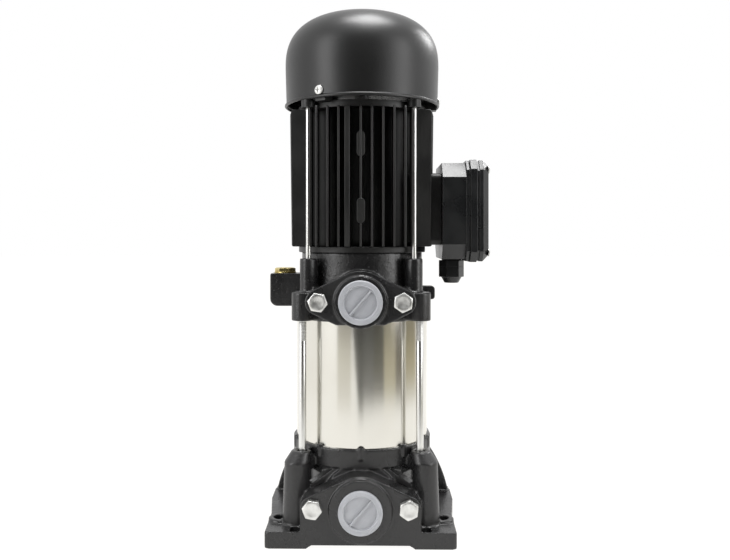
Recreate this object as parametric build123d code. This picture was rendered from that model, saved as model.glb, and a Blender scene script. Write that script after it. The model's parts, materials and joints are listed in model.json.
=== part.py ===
from build123d import *
import os
from math import cos, radians, sin

# Vertical multistage pump, millimetres, +Z up. The origin is on the floor, on the pump's axis, at the
# centre of the four foot holes. Both ports look along -Y and the terminal box is on +X.

# ---- Driving dimensions: the pump ---------------------------------------------------------------
BARREL_R = 61.2          # outside of the stainless sleeve
SLEEVE_WALL = 1.2
BARREL_BOTTOM = 76.0     # sleeve ends, seated inside the base rim and the head skirt
BARREL_TOP = 190.8
BASE_RIM_Z = 78.5
HEAD_BOTTOM = 188.4
HEAD_TOP = 249.0
SKIRT_R = 62.4           # outside of the head where it covers the sleeve
NECK_R = 56.5            # outside of the head below the motor
REGISTER_R = 59.6        # spigots of base and head inside the sleeve
GROOVE_R = 58.2          # floor of their seal grooves
LUG_TOP = 214.6
EAR_TOP = 244.0
SEAL_LOWER_Z = 80.6
SEAL_UPPER_Z = 182.6
STAY_XY = 51.7           # the four stay bolts stand at (+-STAY_XY, +-STAY_XY)
STAY_R = 3.6
STAY_HOLE_R = 4.6
STUD_XY = 46.9           # the four motor studs
STUD_R = 2.25
STUD_SEAT = 384.4        # where the studs' upper nuts sit
PLUG_X = -72.8           # filler plug
PLUG_SEAT = 229.0
PLUG_R = 6.5

# ---- Driving dimensions: base and ports ---------------------------------------------------------
FOOT_HALF_X = 81.5
FOOT_FRONT = -82.0
FOOT_REAR = 69.0
FOOT_T = 14.0
FOOT_HOLE_X = 71.0
FOOT_HOLE_Y = 52.0
FOOT_HOLE_R = 5.25
PORT_BORE_R = 15.2       # G1 internal thread, minor diameter
SUCTION_Z = 32.0
SUCTION_BOLT_X = 40.7
DISCHARGE_Z = 208.0
DISCHARGE_BOLT_X = 36.0
PORT_FACE = -82.0        # front of the flange pads
SUCTION_BOSS = 4.0       # how far the round boss stands in front of the pad
DISCHARGE_BOSS = 3.0
SUCTION_BOLT_Z = SUCTION_Z + 2
TAPPED_HOLE_R = 4.3      # flange bolts
COLUMN_SHOULDER = 66.4   # where the base columns turn conical
COLUMN_TOP = 75.7

# ---- Driving dimensions: the motor --------------------------------------------------------------
MOTOR_BOTTOM = 254.5
MOTOR_TOP = 377.6
MOTOR_CORE_R = 50.0
MOTOR_BORE_R = 46.0
FIN_TIP = 65.4           # reach of the middle fin of each side, at the bottom
FIN_SHOULDER = 61.4      # reach of the outermost fins, at the bottom
FIN_DRAFT = 1.5          # how much further both reach at the top
FIN_PITCH = 9.7
FIN_T = 2.2
FINS_EACH_SIDE = 4       # either side of the middle fin
BROAD_FIN_X = -11.9      # the front has one broad fin, which carries the mould's parting mark
BROAD_FIN_T = 4.9
BOSS_Z = (286.0, 344.0)  # ejector bosses on the middle fins
BOSS_SIZE = (22.0, 7.1)
COWL_R = 72.1            # at the shoulder
COWL_FOOT_R = 71.2       # just above the rolled lip
COWL_LIP_R = 72.9
COWL_LIP_HEIGHT = 1.5
COWL_WALL = 1.0
COWL_SCREW_Z = 391.0
COWL_SCREW_ANGLES = (-120.5, -0.5, 119.5)
COWL_RIM = 384.5
COWL_SHOULDER = 430.0
COWL_APEX = 477.0
COWL_POWER = 2.35        # exponent of the dome's superellipse

# ---- Driving dimensions: rotating parts ---------------------------------------------------------
SHAFT_R = 7.0
SHAFT_BOTTOM = 62.0
SHAFT_TOP = 424.0
STAGES = 4
STAGE_PITCH = 22.0
FIRST_STAGE = 88.0
IMPELLER_R = 41.0
STAGE_R = 56.0           # outside of the stage bowls
BEARINGS_Z = (257.0, 366.0)
BEARING_R = 17.5
BEARING_WIDTH = 11.0
CORE_Z = (278.0, 344.0)  # stator and rotor stacks
WINDING_REACH = 12.0     # end turns beyond the stack
SLOTS = 12
SEAL_Z = 214.0
FAN_Z = 396.0
FAN_R = 56.0
BLADES = 9
RUN_GAP = 0.05           # radial clearance of a running fit

CORNERS = [(sx, sy) for sx in (-1, 1) for sy in (-1, 1)]
UP = (Align.CENTER, Align.CENTER, Align.MIN)


def tube(outer, inner, z0, z1):
    """Upright ring or, with inner 0, a disc, from z0 to z1."""
    body = Cylinder(outer, z1 - z0, align=UP)
    if inner:
        body -= Cylinder(inner, z1 - z0, align=UP)
    return Pos(0, 0, z0) * body


def rod(x, y, z0, z1, r):
    return Pos(x, y, z0) * Cylinder(r, z1 - z0, align=UP)


def block(x0, x1, y0, y1, z0, z1):
    return Pos((x0 + x1) / 2, (y0 + y1) / 2, z0) * Box(x1 - x0, y1 - y0, z1 - z0, align=UP)


def facing(sketch, y_front, depth, z=0.0, taper=0.0):
    """Extrude a sketch drawn in X and Z backwards (+Y) from y_front; taper widens it towards the back."""
    solid = extrude(sketch, -depth, taper=-taper) if taper else extrude(sketch, -depth)
    return Pos(0, y_front, z) * Rot(90, 0, 0) * solid


def hexagon(across_flats, height):
    return extrude(RegularPolygon(across_flats / 2, 6, major_radius=False), height)


def hull_of(circles):
    """Outline round a set of circles given as (x, y, r)."""
    edges = []
    for x, y, r in circles:
        edges += (Pos(x, y) * Circle(r)).edges()
    return make_hull(edges)


def on_corners(shape_at):
    return [shape_at(sx, sy) for sx, sy in CORNERS]


# ---- Base casting -------------------------------------------------------------------------------
def foot_outline():
    """Half outline of the foot plate, mirrored: square front corners, waist, and a wider round rear."""
    w = FOOT_HALF_X
    pts = [(0, FOOT_FRONT), (w, FOOT_FRONT), (w, -34), (w + 4.5, 4), (w + 4.5, 34)]
    half = Polyline(*pts)
    corner = TangentArc((w + 4.5, 34), (w - 17, FOOT_REAR), tangent=(0, 1))
    back = Line((w - 17, FOOT_REAR), (0, FOOT_REAR))
    close = Line((0, FOOT_REAR), (0, FOOT_FRONT))
    right = make_face(half + corner + back + close)
    return right + mirror(right, Plane.YZ)


def foot_plate():
    plate = extrude(foot_outline(), FOOT_T)
    plate = fillet(plate.edges().filter_by(Axis.Z).group_by(Axis.Y)[0], 3)
    for sx, sy in CORNERS:
        plate += rod(sx * FOOT_HOLE_X, sy * FOOT_HOLE_Y, 0, FOOT_T + 2.5, 10.4)
    return plate


def foot_arch():
    """Shallow clearance under the plate that leaves a rail to stand on along each side."""
    profile = Polyline((-45.5, 0), (45.5, 0), (41.5, 2.9), (-41.5, 2.9), close=True)
    return Pos(0, 100, 0) * Rot(90, 0, 0) * extrude(make_face(profile), 200)


def base_column(sx, sy):
    """Corner column that carries one stay bolt: round shaft, sharp shoulder, leaning conical top."""
    shaft = loft([Pos(57, 57, 4) * Circle(12.2), Pos(56, 56, COLUMN_SHOULDER) * Circle(11)], ruled=True)
    shoulder = Pos(55.7, 55.7, COLUMN_SHOULDER) * Circle(11.6)
    top = loft([shoulder, Pos(52.4, 52.4, COLUMN_TOP) * Circle(8.6)], ruled=True)
    web = Pos(0, 0, 58.5) * Rot(0, 0, 45) * block(44, 74, -7, 7, 0, 12)
    column = shaft + top + web
    if sx < 0:
        column = mirror(column, Plane.YZ)
    if sy < 0:
        column = mirror(column, Plane.XZ)
    return column


def side_web(sx):
    """Web with a hollow edge that runs from the body down to the widest part of the foot."""
    edge = ThreePointArc((84.5, FOOT_T - 2), (76.4, 38), (62, 62))
    rest = Polyline((62, 62), (40, 62), (40, FOOT_T - 2), (84.5, FOOT_T - 2))
    web = facing(make_face(edge + rest), 30, 8)
    return web if sx > 0 else mirror(web, Plane.YZ)


def suction_pad():
    """Deep flange pad of the suction port, its bolt ears, and the apron down to the floor."""
    outline = hull_of([(0, SUCTION_Z, 29), (-SUCTION_BOLT_X, SUCTION_BOLT_Z, 10.3),
                       (SUCTION_BOLT_X, SUCTION_BOLT_Z, 10.3)])
    apron = Pos(0, SUCTION_Z / 2 + 1) * Rectangle(2 * SUCTION_BOLT_X + 20.6, SUCTION_Z + 2)
    pad = facing(outline + apron, FOOT_FRONT, 22)
    ears = facing(Sketch() + [Pos(s * SUCTION_BOLT_X, SUCTION_BOLT_Z) * Circle(9.8) for s in (-1, 1)],
                  FOOT_FRONT + 10, 34)
    throat = facing(Pos(0, SUCTION_Z) * Circle(34), FOOT_FRONT + 20, 12)
    bulge = facing(Pos(0, SUCTION_Z) * Circle(38), FOOT_FRONT + 25, 50)
    return pad + ears + throat + bulge


def base_cavities():
    """Water way: the port's bore, the inlet chamber below the stages, and the register for them."""
    bore = facing(Pos(0, SUCTION_Z) * Circle(PORT_BORE_R), PORT_FACE - SUCTION_BOSS, 46)
    chamber = tube(42, 0, 18, 70) + tube(56.5, 0, 66, BASE_RIM_Z + 10)
    throat = facing(Pos(0, SUCTION_Z) * Circle(24), PORT_FACE + 30, 40)
    return bore + chamber + throat


def base_casting():
    body = foot_plate()
    body += tube(48, 0, 0, 60)
    body += Pos(0, 0, 50) * Cone(50, 62, 12, align=UP) + tube(64.2, 0, 61.9, BASE_RIM_Z)
    body += suction_pad()
    body += facing(Pos(0, SUCTION_Z) * Circle(26.8), PORT_FACE - SUCTION_BOSS, 10)
    for sx, sy in CORNERS:
        body += base_column(sx, sy)
    for sx in (-1, 1):
        body += side_web(sx)
        body -= block(min(sx * 52, sx * 60), max(sx * 52, sx * 60), -79.5, -70, 8.5, 30)
    for k in range(10):
        angle = radians(36 * k - 90)
        body += rod(62.9 * cos(angle), 62.9 * sin(angle), 70, BASE_RIM_Z + 2.2, 2.6)
    body &= block(-100, 100, -100, 100, 0, 120)
    body -= base_cavities() + foot_arch()
    body += tube(REGISTER_R, 56.5, 68, 86) - tube(60, GROOVE_R, SEAL_LOWER_Z, SEAL_LOWER_Z + 2.8)
    body -= tube(BARREL_R + RUN_GAP, REGISTER_R, BARREL_BOTTOM, BASE_RIM_Z + 10)
    for sx, sy in CORNERS:
        body -= rod(sx * FOOT_HOLE_X, sy * FOOT_HOLE_Y, -1, 30, FOOT_HOLE_R)
        body -= rod(sx * STAY_XY, sy * STAY_XY, -1, 90, STAY_HOLE_R)
        body -= rod(sx * STAY_XY, sy * STAY_XY, -1, 13, 10.5)
    for s in (-1, 1):
        body -= facing(Pos(s * SUCTION_BOLT_X, SUCTION_BOLT_Z) * Circle(TAPPED_HOLE_R), PORT_FACE, 30)
    return body


# ---- Barrel, stay bolts and their seals ---------------------------------------------------------
def outer_sleeve():
    return tube(BARREL_R, BARREL_R - SLEEVE_WALL, BARREL_BOTTOM, BARREL_TOP)


def o_ring(z):
    """Square-packed seal ring that fills its groove against the sleeve's inside."""
    return tube(BARREL_R - SLEEVE_WALL, GROOVE_R, z + 0.4, z + 2.4)


def stay_bolts():
    """Four long studs, threaded into the head's lugs and nutted under the base."""
    return on_corners(lambda sx, sy: rod(sx * STAY_XY, sy * STAY_XY, 3.2, 205, STAY_R))


def stay_washers():
    return on_corners(lambda sx, sy: Pos(sx * STAY_XY, sy * STAY_XY, 11.4) * tube(8, STAY_R, 0, 1.6))


def stay_nuts():
    nut = hexagon(13, 6.4) - Cylinder(STAY_R, 20)
    return on_corners(lambda sx, sy: Pos(sx * STAY_XY, sy * STAY_XY, 5) * nut)


# ---- Pump head ----------------------------------------------------------------------------------
def head_port_pieces():
    """Passage, bolt bosses, rhombic flange pad and round boss of the discharge port."""
    outline = hull_of([(0, DISCHARGE_Z, 26.6), (-DISCHARGE_BOLT_X, DISCHARGE_Z, 11),
                       (DISCHARGE_BOLT_X, DISCHARGE_Z, 11)])
    pieces = [facing(Pos(0, DISCHARGE_Z) * Circle(26.0), PORT_FACE + 12, 44)]
    for s in (-1, 1):
        pieces.append(facing(Pos(s * DISCHARGE_BOLT_X, DISCHARGE_Z) * Circle(10.7), PORT_FACE + 8, 36))
    pieces.append(facing(outline, PORT_FACE, 14))
    above = block(-90, 90, -90, 90, HEAD_BOTTOM, HEAD_TOP)
    pieces = [piece & above for piece in pieces]
    pieces.append(facing(Pos(0, DISCHARGE_Z) * Circle(22.2), PORT_FACE - DISCHARGE_BOSS, 10))
    return pieces


def filler_boss():
    """Square boss on the left that carries the filler plug."""
    boss = block(PLUG_X - 12.9, -50, -13, 13, 198.6, PLUG_SEAT)
    boss = fillet(boss.edges().filter_by(Axis.Y).group_by(Axis.X)[0].sort_by(Axis.Z)[0], 7)
    return boss


def pump_head():
    """Casting between barrel and motor: skirt with four lugs, discharge chamber, neck and stud ears."""
    body = tube(SKIRT_R, 0, HEAD_BOTTOM, 212) + tube(NECK_R, 0, 205, HEAD_TOP)
    for sx, sy in CORNERS:
        web = Rot(0, 0, 45 * sy if sx > 0 else 180 - 45 * sy) * block(50, 73, -9, 9, HEAD_BOTTOM + 1.2, 213.2)
        body += rod(sx * STAY_XY, sy * STAY_XY, HEAD_BOTTOM + 1.2, LUG_TOP, 9.6) + web
        body += rod(sx * STUD_XY, sy * STUD_XY, 205, EAR_TOP, 7.6)
    for piece in head_port_pieces() + [filler_boss()]:
        body += piece
    small = block(50, 68.6, -7, 7, 204.5, 217)
    body += fillet(small.edges().filter_by(Axis.Y).group_by(Axis.X)[-1], 3)
    chamber = tube(54, 0, 187, 194) + tube(50, 0, 193, 214) + tube(20, 0, 213, 236)
    body -= chamber + tube(28, 0, 236, HEAD_TOP + 1)
    body -= facing(Pos(0, DISCHARGE_Z) * Circle(PORT_BORE_R), PORT_FACE - DISCHARGE_BOSS, 50)
    body -= tube(BARREL_R + RUN_GAP, REGISTER_R, 187, BARREL_TOP)
    body += tube(REGISTER_R, 54, 180, 189) - tube(60, GROOVE_R, SEAL_UPPER_Z, SEAL_UPPER_Z + 2.8)
    cross_hole = Pos(-48, 0, 208) * Rot(0, -90, 0) * Cylinder(4, 26, align=UP)
    body -= rod(PLUG_X, 0, 205, 240, PLUG_R + 0.1) + cross_hole
    for sx, sy in CORNERS:
        body -= rod(sx * STAY_XY, sy * STAY_XY, 187, 205, STAY_R)
        body -= rod(sx * STUD_XY, sy * STUD_XY, 224, EAR_TOP + 1, STUD_R)
    for s in (-1, 1):
        body -= facing(Pos(s * DISCHARGE_BOLT_X, DISCHARGE_Z) * Circle(TAPPED_HOLE_R), PORT_FACE, 30)
    return body


def filler_plug():
    """Hexagon-headed brass plug with its threaded stem."""
    head = Pos(PLUG_X, 0, PLUG_SEAT + 1.2) * hexagon(17, 4)
    collar = rod(PLUG_X, 0, PLUG_SEAT, PLUG_SEAT + 1.4, 10.2)
    return head + collar + rod(PLUG_X, 0, PLUG_SEAT - 10, PLUG_SEAT, PLUG_R)


def flange_bolts(x, z):
    """Pair of hexagon bolts screwed into the face of a flange pad."""
    bolt = hexagon(15, 5.6) + Pos(0, 0, -20) * Cylinder(4.25, 22, align=UP)
    return [Pos(s * x, PORT_FACE, z) * Rot(90, 0, 0) * Rot(0, 0, 8 + 17 * s) * bolt for s in (-1, 1)]


def transit_cap(y_face, z):
    """Push-in plastic plug: rim, hollow stem, and a thin web across the hollow."""
    body = Circle(18.8) - Circle(14)
    cap = extrude(body, 3) + Pos(0, 0, -11) * (Cylinder(14.9, 11.4, align=UP) - Cylinder(14, 11.4, align=UP))
    cap += Pos(0, 0, -1.6) * Cylinder(14.2, 1.6, align=UP)
    cap += Pos(0, 0, -0.2) * Rot(0, 0, 49) * Box(28.2, 1.2, 2.4, align=UP)
    return Pos(0, y_face, z) * Rot(90, 0, 0) * cap


# ---- Motor shells -------------------------------------------------------------------------------
def drive_end_shield():
    """Spigoted flange on top of the head, with the lower bearing seat."""
    body = tube(59.5, 12, HEAD_TOP, MOTOR_BOTTOM) + tube(MOTOR_BORE_R, 40, MOTOR_BOTTOM, 260)
    body += tube(24, 12, MOTOR_BOTTOM - 2, 268) + tube(28, 12, 244, HEAD_TOP)
    return body - tube(BEARING_R, 0, BEARINGS_Z[0], 269)


def fin_envelope(extra):
    """Plan outline that the fin tips reach: four shallow arcs joined across the corners."""
    shoulder, tip, side = FIN_SHOULDER + extra, FIN_TIP + extra, 42.0
    right = ThreePointArc((shoulder, -side), (tip, 0), (shoulder, side))
    arcs = [right.rotate(Axis.Z, 90 * k) for k in range(4)]
    chords = [Line((shoulder, side), (side, shoulder)).rotate(Axis.Z, 90 * k) for k in range(4)]
    return make_face(Curve() + arcs + chords)


def motor_housing():
    """Die-cast stator housing with four groups of parallel cooling fins."""
    height = MOTOR_TOP - MOTOR_BOTTOM
    fins = Sketch()
    for k in range(-FINS_EACH_SIDE, FINS_EACH_SIDE + 1):
        fin = Pos(k * FIN_PITCH, 0) * Rectangle(FIN_T, 150)
        fins += fin + Rot(0, 0, 90) * fin
    fins += Pos(BROAD_FIN_X, -40) * Rectangle(BROAD_FIN_T, 70)
    limit = loft([fin_envelope(0), Pos(0, 0, height) * fin_envelope(FIN_DRAFT)], ruled=True)
    body = Pos(0, 0, MOTOR_BOTTOM) * (extrude(fins + Circle(MOTOR_CORE_R), height) & limit)
    for z in BOSS_Z:
        boss = facing(Pos(0, z) * Rot(0, 0, 90) * SlotOverall(*BOSS_SIZE), -FIN_TIP - FIN_DRAFT / 2, 18)
        body += boss + mirror(boss, Plane.XZ)
    pad = block(40, BOX_IN, -32, 32, 256, 321)
    body += fillet(pad.edges().filter_by(Axis.X), 5)
    return body - tube(MOTOR_BORE_R, 0, 250, 380) - block(30, 80, -22, 22, 272, 306)


def fan_end_shield():
    """Upper end shield: register ring, bearing seat, stud ears and three ears for the cowl screws."""
    body = tube(58.5, 8, MOTOR_TOP, 383.4) + tube(MOTOR_BORE_R, 40, 372, MOTOR_TOP)
    body += tube(24, 8, 366, MOTOR_TOP)
    for sx, sy in CORNERS:
        body += rod(sx * STUD_XY, sy * STUD_XY, MOTOR_TOP, STUD_SEAT, 6.2)
        body -= rod(sx * STUD_XY, sy * STUD_XY, 370, 390, STUD_R)
    screw_hole = Pos(60, 0, COWL_SCREW_Z) * Rot(0, 90, 0) * Cylinder(2, 20, align=UP)
    for angle in COWL_SCREW_ANGLES:
        ear = block(57.5, COWL_R, -5, 5, 382, 397) & tube(COWL_FOOT_R - COWL_WALL - 0.1, 0, 380, 400)
        body += Rot(0, 0, angle) * (ear - screw_hole)
    body += tube(60, 56, MOTOR_TOP, 383.4)
    return body - tube(BEARING_R, 0, 360, BEARINGS_Z[1] + BEARING_WIDTH)


def cowl_profile(radius, height):
    """Superellipse quarter from the shoulder to the apex, as a spline through a few of its points."""
    pts = []
    for k in range(9):
        a = radians(90) * k / 8
        pts.append((radius * cos(a) ** (2 / COWL_POWER), COWL_SHOULDER + height * sin(a) ** (2 / COWL_POWER)))
    return Spline(*pts, tangents=[(0, 1), (-1, 0)])


def fan_cowl():
    """Pressed domed cowl with a rolled lip, open below, with air slots round the crown."""
    inner_r, rise = COWL_R - COWL_WALL, COWL_APEX - COWL_SHOULDER
    foot_in, lip_top = COWL_FOOT_R - COWL_WALL, COWL_RIM + COWL_LIP_HEIGHT
    outside = Polyline((foot_in, COWL_RIM), (COWL_FOOT_R, COWL_RIM), (COWL_LIP_R, COWL_RIM + 0.8),
                       (COWL_LIP_R, lip_top), (COWL_FOOT_R, lip_top + 0.8), (COWL_R, COWL_SHOULDER))
    inside = Polyline((inner_r, COWL_SHOULDER), (foot_in, lip_top + 0.8), (foot_in, COWL_RIM))
    lines = [outside, cowl_profile(COWL_R, rise), Line((0, COWL_APEX), (0, COWL_APEX - COWL_WALL)),
             cowl_profile(inner_r, rise - COWL_WALL), inside]
    body = revolve(Plane.XZ * make_face(Curve() + lines), Axis.Z)
    for k in range(16):
        body -= Rot(0, 0, 22.5 * k) * block(13, 33, -1.6, 1.6, 460, 480)
    for angle in COWL_SCREW_ANGLES:
        body -= Rot(0, 0, angle) * Pos(66, 0, COWL_SCREW_Z) * Rot(0, 90, 0) * Cylinder(2.1, 10, align=UP)
    return body


def cowl_screws():
    """Three pan-head screws into the upper end shield's ears; each head just clears the cowl's curve."""
    screw = Pos(0, 0, -8) * Cylinder(2, 8, align=UP) + Cylinder(4, 1.2, align=UP)
    screw += Pos(0, 0, 1.2) * Cone(4, 2.4, 1.2, align=UP)
    screw = Pos(COWL_FOOT_R + 0.35, 0, COWL_SCREW_Z) * Rot(0, 90, 0) * screw
    return [Rot(0, 0, angle) * screw for angle in COWL_SCREW_ANGLES]


def motor_studs():
    return on_corners(lambda sx, sy: rod(sx * STUD_XY, sy * STUD_XY, 224, 392, STUD_R))


def motor_nuts():
    """Nuts turned so that a flat, not a corner, faces the cowl's wall."""
    nut = Pos(0, 0, STUD_SEAT) * (hexagon(7, 4.2) - Cylinder(STUD_R, 20))
    return on_corners(lambda sx, sy: Pos(sx * STUD_XY, sy * STUD_XY) * Rot(0, 0, 15 * sx * sy) * nut)


# ---- Terminal box -------------------------------------------------------------------------------
BOX_IN = 72.6            # against the motor's pad
BOX_SPLIT = 96.0         # where body and lid meet
BOX_HALF_Y = 45.0
BOX_Z = (243.0, 330.0)
GLAND_X = 84.5


def chamfered_box(x0, x1, half_y, z0, z1, cut):
    body = block(x0, x1, -half_y, half_y, z0, z1)
    return chamfer(body.edges().filter_by(Axis.X), cut)


def terminal_box_body():
    z0, z1 = BOX_Z
    body = chamfered_box(BOX_IN, BOX_SPLIT, BOX_HALF_Y, z0, z1, 13.5)
    flange = chamfered_box(BOX_SPLIT - 2.4, BOX_SPLIT, BOX_HALF_Y + 1.6, z0 - 1.6, z1 + 1.6, 9)
    hollow = chamfered_box(BOX_IN + 3, BOX_SPLIT + 1, BOX_HALF_Y - 3, z0 + 3, z1 - 3, 12)
    body = body + flange - hollow - block(BOX_IN - 1, BOX_IN + 4, -22, 22, 272, 306)
    return body - rod(GLAND_X, 0, z0 - 1, z0 + 4, 8)


def terminal_box_gasket():
    z0, z1 = BOX_Z
    ring = chamfered_box(BOX_SPLIT, BOX_SPLIT + 1.2, BOX_HALF_Y + 0.6, z0 - 0.6, z1 + 0.6, 9)
    return ring - chamfered_box(BOX_SPLIT - 1, BOX_SPLIT + 3, BOX_HALF_Y - 3, z0 + 3, z1 - 3, 12)


def terminal_box_lid():
    z0, z1 = BOX_Z
    start = BOX_SPLIT + 1.2
    lid = chamfered_box(start, start + 6, BOX_HALF_Y + 2.4, z0 - 2.4, z1 + 2.4, 9)
    lid += chamfered_box(start + 6, start + 8, BOX_HALF_Y + 1, z0 - 1, z1 + 1, 9)
    dome = chamfered_box(start + 8, start + 16.4, BOX_HALF_Y + 1.8, z0 - 1.8, z1 + 1.8, 9)
    lid += chamfer(dome.faces().sort_by(Axis.X)[-1].edges(), 5)
    lid -= chamfered_box(start - 1, start + 12, BOX_HALF_Y - 3, z0 + 3, z1 - 3, 12)
    return lid - lid_screw_holes()


def lid_screw_places():
    z0, z1 = BOX_Z
    return [(s * (BOX_HALF_Y - 6.5), z) for s in (-1, 1) for z in (z0 + 6.5, z1 - 6.5)]


def lid_screw_holes():
    hole = Rot(0, 90, 0) * Cylinder(2.3, 12, align=UP)
    return Part() + [Pos(BOX_SPLIT + 9, y, z) * hole for y, z in lid_screw_places()]


def lid_screws():
    screw = Cylinder(2.2, 6, align=UP) + Pos(0, 0, 6) * Cylinder(3.8, 1.6, align=UP)
    return [Pos(BOX_SPLIT + 1.2 + 10.4, y, z) * Rot(0, 90, 0) * screw for y, z in lid_screw_places()]


def terminal_block():
    """Moulded block with six brass posts, on the box's inner wall."""
    body = block(BOX_IN + 3, BOX_IN + 11, -20, 20, 308.5, 322)
    for k in range(6):
        body += Pos(BOX_IN + 11, -15 + 6 * k, 315) * Rot(0, 90, 0) * Cylinder(1.8, 4, align=UP)
    return body


def gland_body():
    body = Pos(GLAND_X, 0, 235.5) * hexagon(20.5, 5.7) + rod(GLAND_X, 0, 241, 248, 7.9)
    body += rod(GLAND_X, 0, 228, 236.5, 8.6)
    return body - rod(GLAND_X, 0, 220, 250, 5.4)


def gland_nut():
    nut = Pos(GLAND_X, 0, 225.5) * hexagon(20.5, 10) + Pos(GLAND_X, 0, 220) * Cone(6.6, 9.6, 5.5, align=UP)
    return nut - rod(GLAND_X, 0, 228, 240, 8.65) - rod(GLAND_X, 0, 219, 229, 4.6)


def gland_washer():
    return rod(GLAND_X, 0, 241.2, BOX_Z[0], 9) - rod(GLAND_X, 0, 240, 250, 7.9)


def gland_seal():
    return rod(GLAND_X, 0, 228, 240, 5.3) - rod(GLAND_X, 0, 227, 241, 4.1)


# ---- Motor, inside ------------------------------------------------------------------------------
def stator_core():
    ring = Circle(MOTOR_BORE_R) - Circle(27)
    for k in range(SLOTS):
        ring -= Rot(0, 0, 360 / SLOTS * k) * Pos(33.5, 0) * SlotOverall(11, 5)
    return Pos(0, 0, CORE_Z[0]) * extrude(ring, CORE_Z[1] - CORE_Z[0])


def stator_windings():
    """Copper end turns above and below the core, joined through the slots."""
    z0, z1 = CORE_Z
    body = tube(42, 29.5, z0 - WINDING_REACH, z0) + tube(42, 29.5, z1, z1 + WINDING_REACH)
    for k in range(SLOTS):
        coil = Rot(0, 0, 360 / SLOTS * k) * Pos(33.5, 0) * SlotOverall(10.6, 4.6)
        body += Pos(0, 0, z0 - 1) * extrude(coil, z1 - z0 + 2)
    return body


def bearing(z, outer):
    """Outer race, or inner race, of a deep-groove bearing."""
    if outer:
        return tube(BEARING_R, 14.4, z, z + BEARING_WIDTH)
    return tube(10.6, SHAFT_R, z, z + BEARING_WIDTH)


def bearing_cages():
    """Cage and balls of each bearing as one ring that turns with the inner race."""
    return [tube(14.4 - RUN_GAP, 10.6, z, z + BEARING_WIDTH) for z in BEARINGS_Z]


def shaft():
    body = tube(SHAFT_R, 0, SHAFT_BOTTOM, SHAFT_TOP)
    body = chamfer(body.edges().group_by(Axis.Z)[0] + body.edges().group_by(Axis.Z)[-1], 1)
    return body


def rotor_core():
    return tube(26.6, SHAFT_R, *CORE_Z) + tube(24, 18, CORE_Z[0] - 6, CORE_Z[1] + 6)


def cooling_fan():
    """Radial fan: hub, backing disc and straight blades, so it cools in either direction."""
    body = tube(12, SHAFT_R, FAN_Z, FAN_Z + 22) + tube(FAN_R, 10, FAN_Z, FAN_Z + 2.4)
    for k in range(BLADES):
        body += Rot(0, 0, 360 / BLADES * k) * block(9, FAN_R - 1, -1, 1, FAN_Z + 1, FAN_Z + 22)
    return body


# ---- Pump stages --------------------------------------------------------------------------------
def swept_vane(r0, r1, turn, thickness, height):
    """Blade standing on the XY plane, swept by turn degrees between radii r0 and r1."""
    stations = [(0, r0), (turn * 0.42, (r0 + r1) / 2), (turn, r1)]

    def flank(side):
        points = []
        for angle, r in stations:
            a = radians(angle) + side * thickness / (2 * r)
            points.append((r * cos(a), r * sin(a)))
        return ThreePointArc(*points)

    left, right = flank(1), flank(-1)
    return extrude(make_face([left, right, Line(left @ 0, right @ 0), Line(left @ 1, right @ 1)]), height)


def impeller(z):
    """Closed impeller: eye ring below, two shrouds and seven swept vanes between them."""
    body = tube(IMPELLER_R, 10, 6.6, 7.8) + tube(11.5, SHAFT_R, 1.5, 12)
    body += tube(IMPELLER_R, 17, 1.2, 2.4) + tube(18.4, 17, -2.4, 1.2)
    for k in range(7):
        body += Rot(0, 0, k * 360 / 7) * Pos(0, 0, 2.2) * swept_vane(16, IMPELLER_R - 0.4, 62, 1.4, 4.6)
    return Pos(0, 0, z) * body


def diffuser(z):
    """Guide-vane disc above an impeller; its vanes lead the water inwards to the next eye."""
    body = tube(54.6, 13, 10.4, 11.8)
    for k in range(8):
        body += Rot(0, 0, k * 45) * Pos(0, 0, 11.6) * swept_vane(20, 52, -50, 1.6, 4.8)
    return Pos(0, 0, z) * body


def stage_casing(z):
    """Pressed stage bowl with the neck ring round the impeller's eye."""
    body = tube(STAGE_R, STAGE_R - 1.2, -3.4, STAGE_PITCH - 4.6) + tube(STAGE_R, 21, -4.6, -3.4)
    body += tube(22.4, 19, -3.4, -1.2)
    return Pos(0, 0, z) * body


def top_plate():
    """Plate that closes the last stage and centres it in the head."""
    z = FIRST_STAGE + STAGES * STAGE_PITCH
    return tube(STAGE_R, 30, z - 4.6, z - 2.2)


def inlet_plate():
    """Ring that carries the stage stack on the base, with the spider of the lower bush."""
    z = FIRST_STAGE - 4.6
    body = tube(56.4, 46, 74, z) + tube(14, 10, 64, 76)
    for k in range(3):
        body += Rot(0, 0, 120 * k + 30) * block(12, 48, -2.5, 2.5, 70, 76)
    return body


def shaft_nut():
    body = Pos(0, 0, 79.4) * hexagon(19, 6) - Cylinder(SHAFT_R, 300)
    return body + tube(11.5, SHAFT_R, 85.4, FIRST_STAGE + 1.5)


def impeller_spacers():
    """Sleeves on the shaft between the impeller hubs."""
    tubes = []
    for k in range(STAGES):
        z0 = FIRST_STAGE + k * STAGE_PITCH + 12
        z1 = FIRST_STAGE + (k + 1) * STAGE_PITCH + 1.5 if k < STAGES - 1 else SEAL_Z
        tubes.append(tube(10.4, SHAFT_R, z0, z1))
    return tubes


def seal_rotary():
    return tube(14, SHAFT_R, SEAL_Z, SEAL_Z + 9) + tube(12.4, SHAFT_R, SEAL_Z + 9, SEAL_Z + 11)


def seal_seat():
    """Stationary seal ring in the head's throat."""
    return tube(20, 16, SEAL_Z + 8, SEAL_Z + 18) + tube(16.5, 8.5, SEAL_Z + 11, SEAL_Z + 18)


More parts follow.
